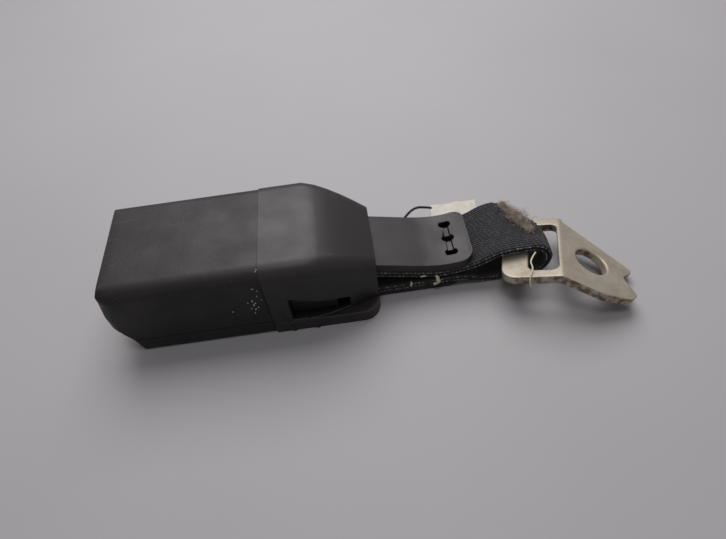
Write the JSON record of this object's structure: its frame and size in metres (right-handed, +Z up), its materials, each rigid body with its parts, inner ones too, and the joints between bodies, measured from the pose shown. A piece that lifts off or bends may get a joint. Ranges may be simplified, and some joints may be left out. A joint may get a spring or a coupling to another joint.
{
  "type": "seat belt buckle",
  "caption": "Rear-seat seat belt buckle with a push button, a boot, a short folded webbing loop and a bent, notched anchor plate with one bolt hole.",
  "frame": {"origin": "on the flat front face that the buckle lies on, under the point where the latch holds the tongue", "axes": "+Z up through the back cover, +X from the tongue mouth to the anchor plate, +Y across the buckle, away from the picture's camera"},
  "size_m": [0.174, 0.0538, 0.0313],
  "materials": {
    "cover_plastic": "fine moulded grain",
    "boot_plastic": "smooth moulded",
    "button_plastic": "moulded red",
    "inner_plastic": "natural acetal",
    "frame_steel": "zinc plated",
    "spring_steel": "drawn wire",
    "plate_steel": "yellow passivated zinc",
    "webbing": "woven polyester",
    "label": "blank woven tape"
  },
  "bodies": {
    "root": {"back_cover": "cover_plastic", "front_cover": "cover_plastic", "tongue_guide": "inner_plastic", "buckle_frame": "frame_steel", "latch_pin": "frame_steel", "webbing_bar": "frame_steel", "boot_upper": "boot_plastic", "boot_lower": "boot_plastic", "webbing_strap": "webbing", "webbing_label": "label", "ejector_spring": "spring_steel", "button_spring_near": "spring_steel", "button_spring_far": "spring_steel", "latch_spring_near": "spring_steel", "latch_spring_far": "spring_steel"},
    "button": {"release_button": "button_plastic"},
    "lock": {"lock_bar": "frame_steel"},
    "ejector_fork": {"ejector": "inner_plastic"},
    "pawl": {"latch": "frame_steel"},
    "anchor": {"anchor_plate": "plate_steel"}
  },
  "joints": [
    {"name": "button_press", "type": "slide", "parent": "root", "child": "button", "axis": [1, 0, 0], "range_m": [0, 0.006], "stiffness_N_per_m": 400, "deforming": ["button_spring_near", "button_spring_far"]},
    {"name": "lock_slide", "type": "slide", "parent": "root", "child": "lock", "axis": [1, 0, 0], "range_m": [0, 0.006]},
    {"name": "ejector_slide", "type": "slide", "parent": "root", "child": "ejector_fork", "axis": [1, 0, 0], "range_m": [0, 0.012], "stiffness_N_per_m": 300, "deforming": ["ejector_spring"]},
    {"name": "latch_tilt", "type": "hinge", "parent": "root", "child": "pawl", "pos_m": [0.026, 0, 0.0127], "axis": [0, 1, 0], "range_deg": [0, 16], "deforming": ["latch_spring_near", "latch_spring_far"]},
    {"name": "anchor_swing", "type": "hinge", "parent": "root", "child": "anchor", "pos_m": [0.10876, -0.00749, 0.00934], "axis": [0.3014, 0.9294, -0.213], "range_deg": [-15, 12]}
  ],
  "couplings": [
    {"joint": "lock_slide", "follows": "button_press", "ratio": 1},
    {"joint": "latch_tilt", "follows": "ejector_slide", "rad_per_m": 23.271}
  ]
}
